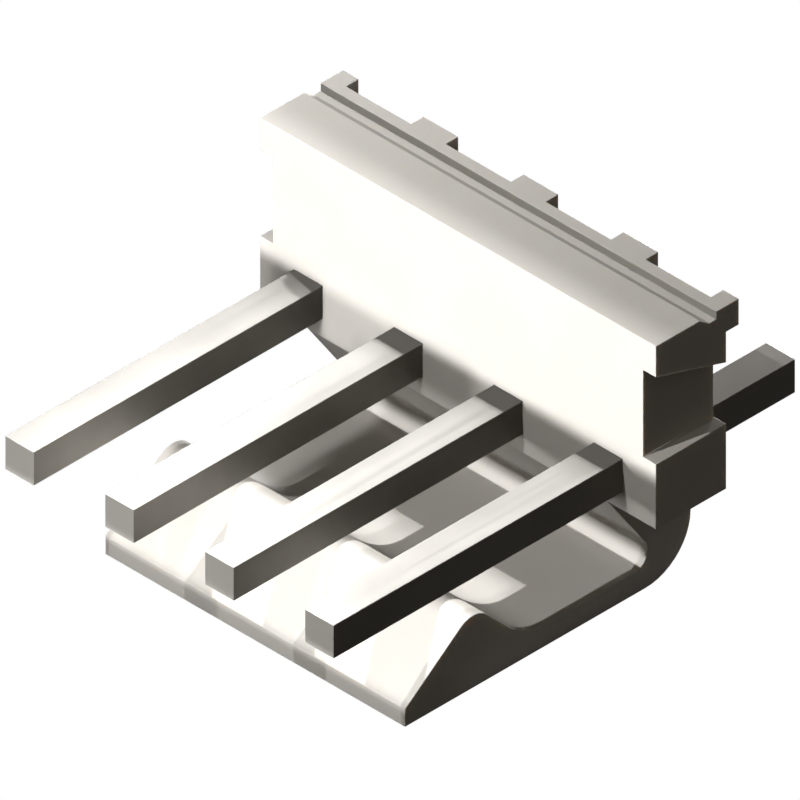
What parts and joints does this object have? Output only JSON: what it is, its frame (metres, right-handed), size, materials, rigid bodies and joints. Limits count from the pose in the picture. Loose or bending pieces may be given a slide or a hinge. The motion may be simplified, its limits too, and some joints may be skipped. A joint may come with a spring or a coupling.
{
  "type": "pin header",
  "caption": "Straight board header: square pins through a moulded nylon wall, with a ramped friction lock below the pins that holds the mating socket.",
  "frame": {"origin": "middle of the pin row, in the plane of the circuit board's face that the standoffs and the lock's neck bear on", "axes": "+X along the row of pins, +Y along the solder tails into the board, +Z away from the lock plate that the header lies on"},
  "size_m": [0.0156, 0.0183, 0.01],
  "materials": {
    "nylon": "natural white moulded nylon, satin",
    "tinned_pin": "tin plate over square brass wire, satin"
  },
  "bodies": {
    "root": {"housing": "nylon", "pin_1": "tinned_pin", "pin_2": "tinned_pin", "pin_3": "tinned_pin", "pin_4": "tinned_pin"}
  },
  "joints": []
}
